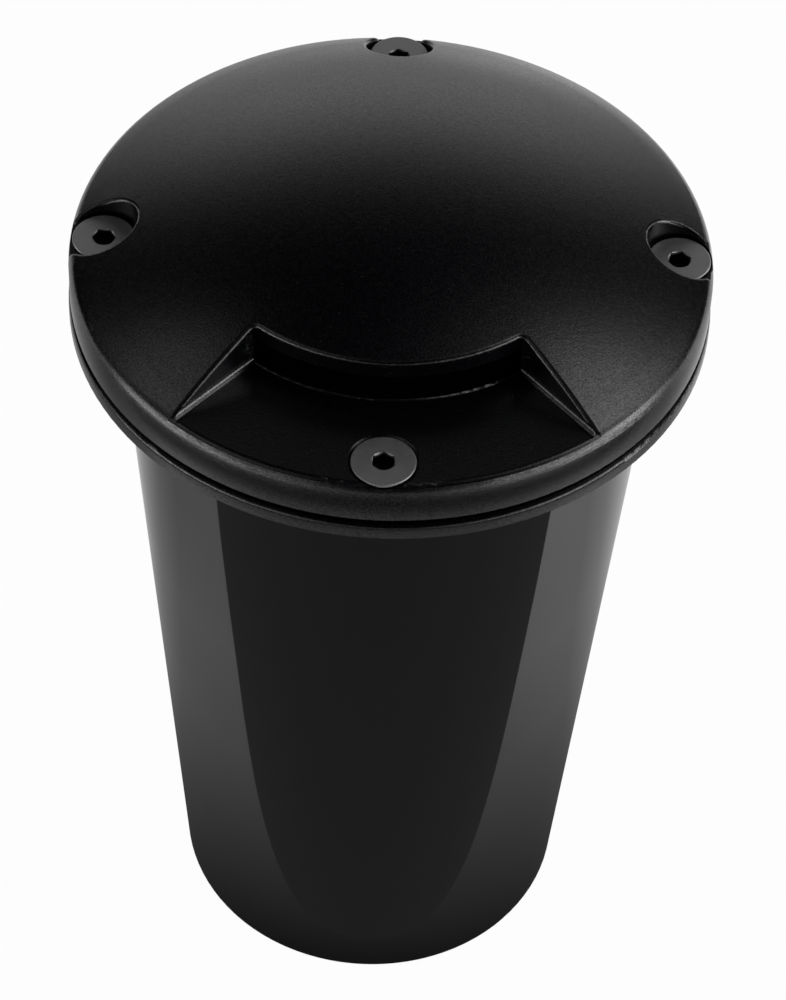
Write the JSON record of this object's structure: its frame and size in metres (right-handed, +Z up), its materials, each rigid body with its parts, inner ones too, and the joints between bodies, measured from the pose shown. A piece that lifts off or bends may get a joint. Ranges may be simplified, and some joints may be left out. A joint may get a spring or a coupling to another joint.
{
  "type": "in ground well light",
  "caption": "In-ground well light: tapered can with a thin flange, and a domed cap whose wedge-shaped scoop lets the light out to one side.",
  "frame": {"origin": "centre of the can's base, on the plane that the light stands on", "axes": "+Z up along the can's axis; the cap's scoop opens towards -Y; the cable gland points towards +Y"},
  "size_m": [0.1266, 0.1266, 0.2007],
  "materials": {
    "can": "high-gloss black",
    "cap_coat": "cast, matt black powder coat",
    "dark_screw": "dark satin",
    "seal": "matt black silicone",
    "lens_glass": "toughened, clear",
    "steel": "stainless, stamped",
    "brass": "plain",
    "lamp_metal": "die-cast, satin",
    "lamp_front": "frosted",
    "ceramic": null,
    "nylon": "natural",
    "gland": "black nylon",
    "lead_cover": "silicone insulation"
  },
  "bodies": {
    "housing": {"housing": "can", "flange_ring": "cap_coat", "thread_inserts": "brass", "cap_gasket": "seal", "lens": "lens_glass", "lens_gasket": "seal", "carrier_plate": "steel", "carrier_screws": "steel", "terminal_block": "nylon", "terminal_screws": "brass", "lead_wires": "lead_cover", "gland_body": "gland", "gland_washer": "seal", "gland_lock_nut": "gland", "gland_seal": "seal", "gland_nut": "gland"},
    "cap": {"cap": "cap_coat"},
    "screw_front": {"cap_screw_front": "dark_screw"},
    "screw_right": {"cap_screw_right": "dark_screw"},
    "screw_back": {"cap_screw_back": "dark_screw"},
    "screw_left": {"cap_screw_left": "dark_screw"},
    "lamp": {"gimbal_ring": "steel", "lamp_clip": "steel", "pivot_screws": "steel", "pivot_washers": "nylon", "lamp_body": "lamp_metal", "lamp_optic": "lamp_front", "lamp_pins": "brass", "lamp_holder": "ceramic"}
  },
  "joints": [
    {"name": "cap_lift", "type": "slide", "parent": "housing", "child": "cap", "axis": [0, 0, 1], "range_m": [0, 0.06]},
    {"name": "screw_front_out", "type": "slide", "parent": "cap", "child": "screw_front", "axis": [0, 0, 1], "range_m": [0, 0.022]},
    {"name": "screw_right_out", "type": "slide", "parent": "cap", "child": "screw_right", "axis": [0, 0, 1], "range_m": [0, 0.022]},
    {"name": "screw_back_out", "type": "slide", "parent": "cap", "child": "screw_back", "axis": [0, 0, 1], "range_m": [0, 0.022]},
    {"name": "screw_left_out", "type": "slide", "parent": "cap", "child": "screw_left", "axis": [0, 0, 1], "range_m": [0, 0.022]},
    {"name": "lamp_tilt", "type": "hinge", "parent": "housing", "child": "lamp", "pos_m": [0, 0, 0.1534], "axis": [1, 0, 0], "range_deg": [-15, 15], "deforming": ["lead_wires"]}
  ]
}
